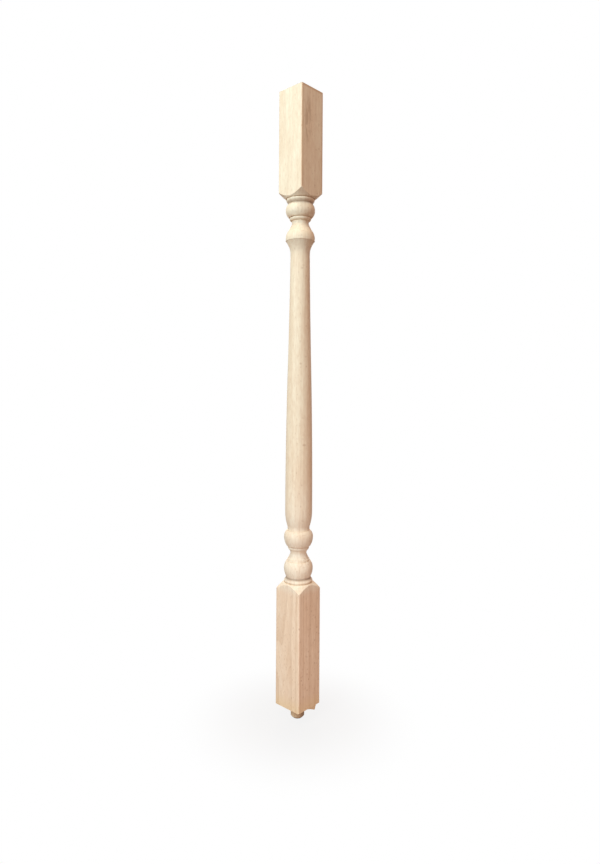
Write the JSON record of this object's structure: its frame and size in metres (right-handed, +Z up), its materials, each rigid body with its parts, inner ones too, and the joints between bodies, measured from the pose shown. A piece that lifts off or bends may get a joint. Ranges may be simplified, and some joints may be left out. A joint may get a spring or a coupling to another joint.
{
  "type": "turned wooden baluster",
  "caption": "Pin-bottom stair baluster turned from square stock, with square blocks at both ends and a long tapered shaft between ball turnings.",
  "frame": {"origin": "centre of the lower block's end face, at the root of the pin, where the baluster sits on the tread", "axes": "+Z up the length towards the top block; X and Y square to the faces of the two blocks"},
  "size_m": [0.0444, 0.0444, 0.8827],
  "materials": {
    "wood": "sanded, unfinished beech"
  },
  "bodies": {
    "root": {"baluster": "wood"}
  },
  "joints": []
}
